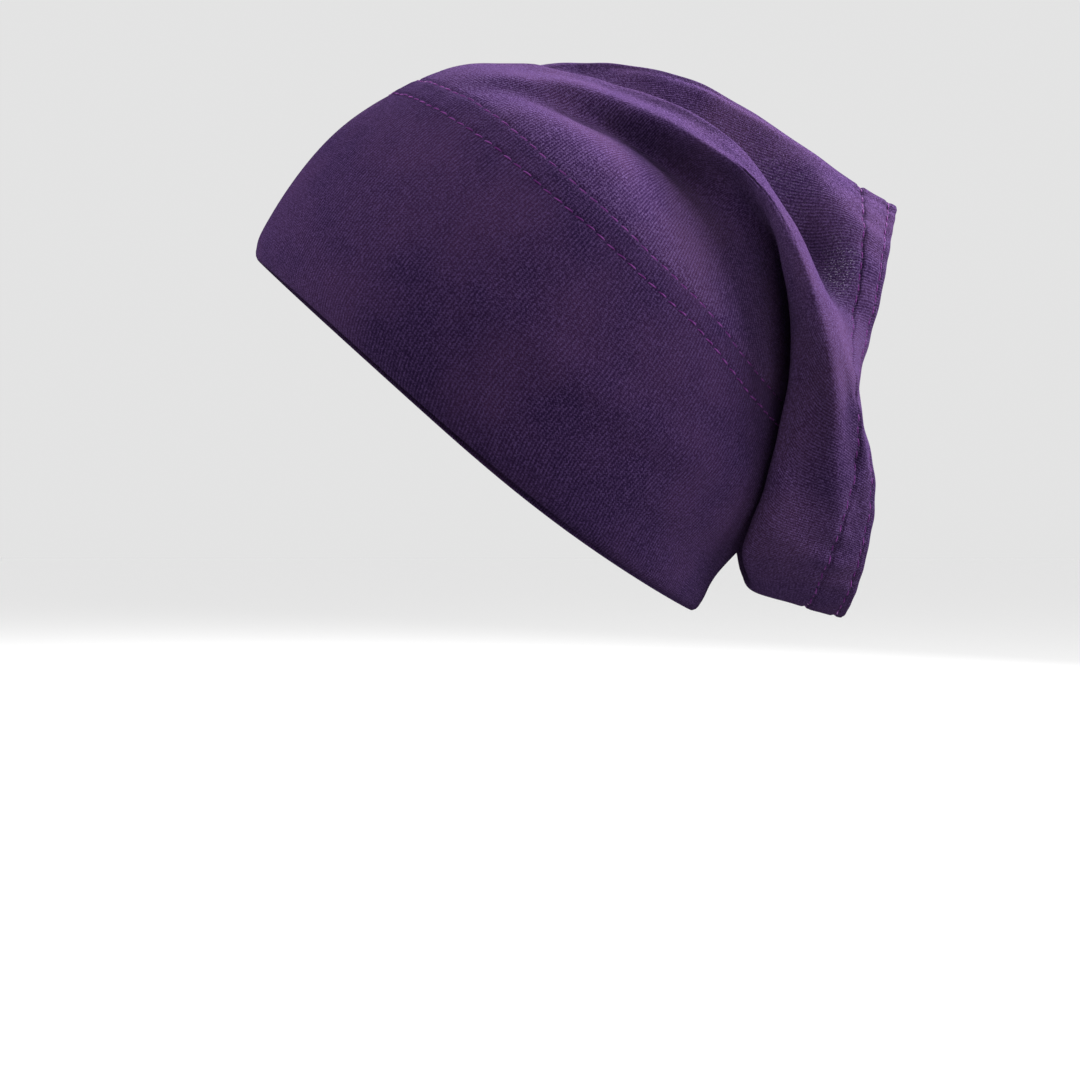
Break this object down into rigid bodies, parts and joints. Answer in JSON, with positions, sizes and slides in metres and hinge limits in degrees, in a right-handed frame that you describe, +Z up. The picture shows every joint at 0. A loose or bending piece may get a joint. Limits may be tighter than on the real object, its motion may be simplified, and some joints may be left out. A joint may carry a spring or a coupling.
{
  "type": "tube underscarf",
  "caption": "Open-ended jersey tube underscarf in its worn form: a wide doubled band grips the head and a slack tube folds and hangs behind it to a turned-in hem.",
  "frame": {"origin": "centre of the head opening at the front edge of the band, in the plane of the face's profile", "axes": "+X to the back of the head, +Z up towards the crown, -Y the wearer's left"},
  "size_m": [0.2317, 0.1558, 0.2034],
  "materials": {
    "band_jersey": "fine matt cotton jersey, doubled, dark purple",
    "tube_jersey": "fine matt cotton jersey, single, dark purple"
  },
  "bodies": {
    "root": {"front_band": "band_jersey", "tube_body": "tube_jersey", "back_hem": "tube_jersey"}
  },
  "joints": []
}
